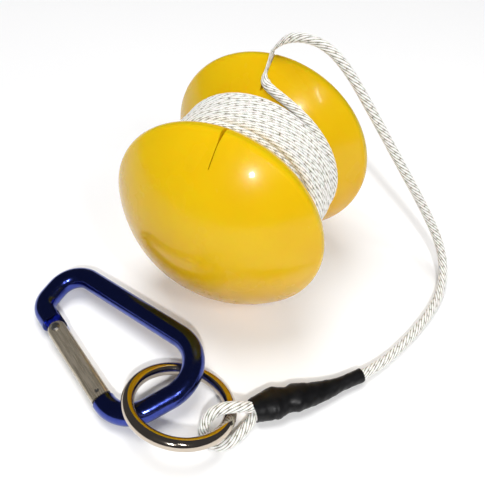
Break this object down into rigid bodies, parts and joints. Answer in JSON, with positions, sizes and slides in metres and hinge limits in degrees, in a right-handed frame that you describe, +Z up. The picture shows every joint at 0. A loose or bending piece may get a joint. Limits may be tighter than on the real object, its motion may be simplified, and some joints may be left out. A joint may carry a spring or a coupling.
{
  "type": "cord spool with snap carabiner",
  "caption": "Handheld spool with two domed plastic flanges, wound with braided cord that ends in a sleeved eye, a metal ring and a D-shaped snap carabiner.",
  "frame": {"origin": "on the floor under the middle of the spool", "axes": "+Z up; +Y along the axis of the spool, towards the flange that the cord leaves; +X to the side where the cord comes down"},
  "size_m": [0.142, 0.1439, 0.0912],
  "materials": {
    "flange_plastic": "glossy yellow moulding",
    "hub_plastic": "plain moulding",
    "cord_braid": "white braid",
    "sleeve_rubber": "semi-gloss heat-shrink",
    "crimp_metal": "plain",
    "ring_plating": "polished nickel plating",
    "bar_anodised": "blue anodised",
    "gate_metal": "natural, brushed",
    "small_steel": "plain steel"
  },
  "bodies": {
    "spool": {"front_dome": "flange_plastic", "front_dish": "flange_plastic", "back_dome": "flange_plastic", "back_dish": "flange_plastic", "hub_core": "hub_plastic", "front_clamp_plate": "hub_plastic", "back_clamp_plate": "hub_plastic", "front_hub_screws": "small_steel", "back_hub_screws": "small_steel", "cord_winding": "cord_braid", "cord_anchor_knot": "cord_braid", "pinched_cord": "cord_braid", "free_cord": "cord_braid", "cord_eye": "cord_braid", "cord_splice": "cord_braid", "shrink_sleeve": "sleeve_rubber", "crimp_rings": "crimp_metal"},
    "ring": {"ring": "ring_plating"},
    "carabiner": {"carabiner_body": "bar_anodised", "gate_hinge_pin": "small_steel"},
    "gate": {"gate": "gate_metal", "gate_latch_pin": "small_steel", "gate_spring": "small_steel"},
    "plunger": {"gate_plunger": "small_steel"}
  },
  "joints": [
    {"name": "ring_turn", "type": "hinge", "parent": "spool", "child": "ring", "pos_m": [0.012, -0.0792, 0.0078], "axis": [0.0891, 0.307, 0.9475], "range_deg": [0, 100]},
    {"name": "carabiner_swing", "type": "hinge", "parent": "ring", "child": "carabiner", "pos_m": [0.00223, -0.07451, 0.0072], "axis": [0.9721, -0.2302, 0.0442], "range_deg": [0, 110]},
    {"name": "gate_hinge", "type": "hinge", "parent": "carabiner", "child": "gate", "pos_m": [-0.04463, -0.06892, 0.00433], "axis": [-0.078, -0.1402, 0.987], "range_deg": [0, 32], "stiffness_Nm_per_rad": 0.04, "springref_deg": -28.65},
    {"name": "plunger_slide", "type": "slide", "parent": "gate", "child": "plunger", "axis": [0.8653, -0.5012, -0.0028], "range_m": [0, 0.0004]}
  ],
  "couplings": [
    {"joint": "plunger_slide", "follows": "gate_hinge", "m_per_rad": 0.000664}
  ]
}
